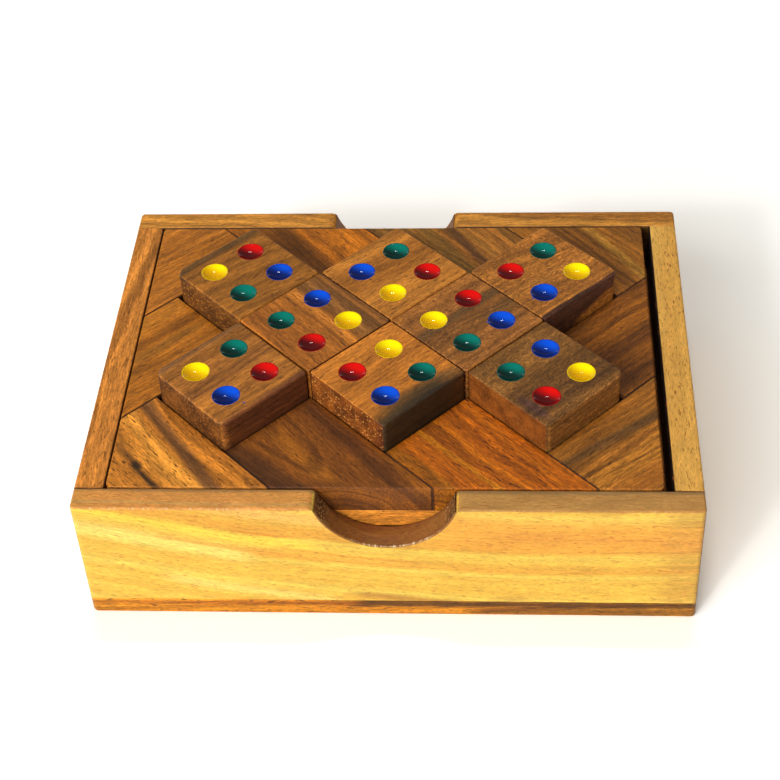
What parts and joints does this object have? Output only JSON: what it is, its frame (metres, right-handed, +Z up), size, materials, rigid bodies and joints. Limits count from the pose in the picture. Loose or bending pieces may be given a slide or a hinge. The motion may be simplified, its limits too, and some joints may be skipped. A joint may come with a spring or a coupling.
{
  "type": "tile puzzle storage box",
  "caption": "Small open hardwood tray box with finger notches and a lift-out board of diagonal strips that holds square tiles with coloured dots.",
  "frame": {"origin": "middle of the base's underside", "axes": "+X to the right along the box's longest side, +Y to the back, +Z up out of the box; the front wall with the centred finger notch faces -Y"},
  "size_m": [0.165, 0.1262, 0.0515],
  "materials": {
    "wall_sapwood": "satin lacquered hardwood sapwood",
    "wall_heartwood": "satin lacquered hardwood",
    "base_wood": "satin lacquered hardwood",
    "cleat_wood": "bare hardwood",
    "panel_wood": "satin lacquered hardwood",
    "strip_red_brown": "satin lacquered hardwood",
    "strip_golden": "satin lacquered hardwood",
    "strip_dark": "satin lacquered hardwood",
    "tile_red_brown": "satin lacquered hardwood",
    "tile_golden": "satin lacquered hardwood",
    "tile_speckled": "rough-grained lacquered hardwood",
    "tile_dark": "satin lacquered hardwood",
    "enamel_red": "gloss enamel paint",
    "enamel_yellow": "gloss enamel paint",
    "enamel_blue": "gloss enamel paint",
    "enamel_green": "gloss enamel paint"
  },
  "bodies": {
    "box": {"base_panel": "base_wood", "front_wall": "wall_sapwood", "back_wall": "wall_heartwood", "left_wall": "wall_heartwood", "right_wall": "wall_sapwood", "left_cleat": "cleat_wood", "right_cleat": "cleat_wood"},
    "board": {"board_panel": "panel_wood", "strip_back_left_corner": "strip_red_brown", "strip_left_middle": "strip_red_brown", "strip_front_left_corner": "strip_golden", "strip_front_left": "strip_dark", "strip_front_right": "strip_red_brown", "strip_front_right_corner": "strip_golden", "strip_right_middle": "strip_red_brown", "strip_back_right_corner": "strip_dark", "strip_back_right": "strip_red_brown", "strip_back_left": "strip_dark"},
    "piece_back_left": {"tile_back_left": "tile_red_brown", "dot_back_left_yellow": "enamel_yellow", "dot_back_left_red": "enamel_red", "dot_back_left_blue": "enamel_blue", "dot_back_left_green": "enamel_green"},
    "piece_back_middle": {"tile_back_middle": "tile_red_brown", "dot_back_middle_blue": "enamel_blue", "dot_back_middle_green": "enamel_green", "dot_back_middle_red": "enamel_red", "dot_back_middle_yellow": "enamel_yellow"},
    "piece_back_right": {"tile_back_right": "tile_speckled", "dot_back_right_red": "enamel_red", "dot_back_right_green": "enamel_green", "dot_back_right_yellow": "enamel_yellow", "dot_back_right_blue": "enamel_blue"},
    "piece_centre_left": {"tile_centre_left": "tile_red_brown", "dot_centre_left_green": "enamel_green", "dot_centre_left_blue": "enamel_blue", "dot_centre_left_yellow": "enamel_yellow", "dot_centre_left_red": "enamel_red"},
    "piece_centre_right": {"tile_centre_right": "tile_dark", "dot_centre_right_yellow": "enamel_yellow", "dot_centre_right_red": "enamel_red", "dot_centre_right_blue": "enamel_blue", "dot_centre_right_green": "enamel_green"},
    "piece_front_left": {"tile_front_left": "tile_red_brown", "dot_front_left_yellow": "enamel_yellow", "dot_front_left_green": "enamel_green", "dot_front_left_red": "enamel_red", "dot_front_left_blue": "enamel_blue"},
    "piece_front_middle": {"tile_front_middle": "tile_golden", "dot_front_middle_red": "enamel_red", "dot_front_middle_yellow": "enamel_yellow", "dot_front_middle_green": "enamel_green", "dot_front_middle_blue": "enamel_blue"},
    "piece_front_right": {"tile_front_right": "tile_dark", "dot_front_right_green": "enamel_green", "dot_front_right_blue": "enamel_blue", "dot_front_right_yellow": "enamel_yellow", "dot_front_right_red": "enamel_red"}
  },
  "joints": [
    {"name": "board_lift", "type": "slide", "parent": "box", "child": "board", "axis": [0, 0, 1], "range_m": [0, 0.06]},
    {"name": "tile_back_left_lift", "type": "slide", "parent": "board", "child": "piece_back_left", "axis": [0, 0, 1], "range_m": [0, 0.025]},
    {"name": "tile_back_middle_lift", "type": "slide", "parent": "board", "child": "piece_back_middle", "axis": [0, 0, 1], "range_m": [0, 0.025]},
    {"name": "tile_back_right_lift", "type": "slide", "parent": "board", "child": "piece_back_right", "axis": [0, 0, 1], "range_m": [0, 0.025]},
    {"name": "tile_centre_left_lift", "type": "slide", "parent": "board", "child": "piece_centre_left", "axis": [0, 0, 1], "range_m": [0, 0.025]},
    {"name": "tile_centre_right_lift", "type": "slide", "parent": "board", "child": "piece_centre_right", "axis": [0, 0, 1], "range_m": [0, 0.025]},
    {"name": "tile_front_left_lift", "type": "slide", "parent": "board", "child": "piece_front_left", "axis": [0, 0, 1], "range_m": [0, 0.025]},
    {"name": "tile_front_middle_lift", "type": "slide", "parent": "board", "child": "piece_front_middle", "axis": [0, 0, 1], "range_m": [0, 0.025]},
    {"name": "tile_front_right_lift", "type": "slide", "parent": "board", "child": "piece_front_right", "axis": [0, 0, 1], "range_m": [0, 0.025]}
  ]
}
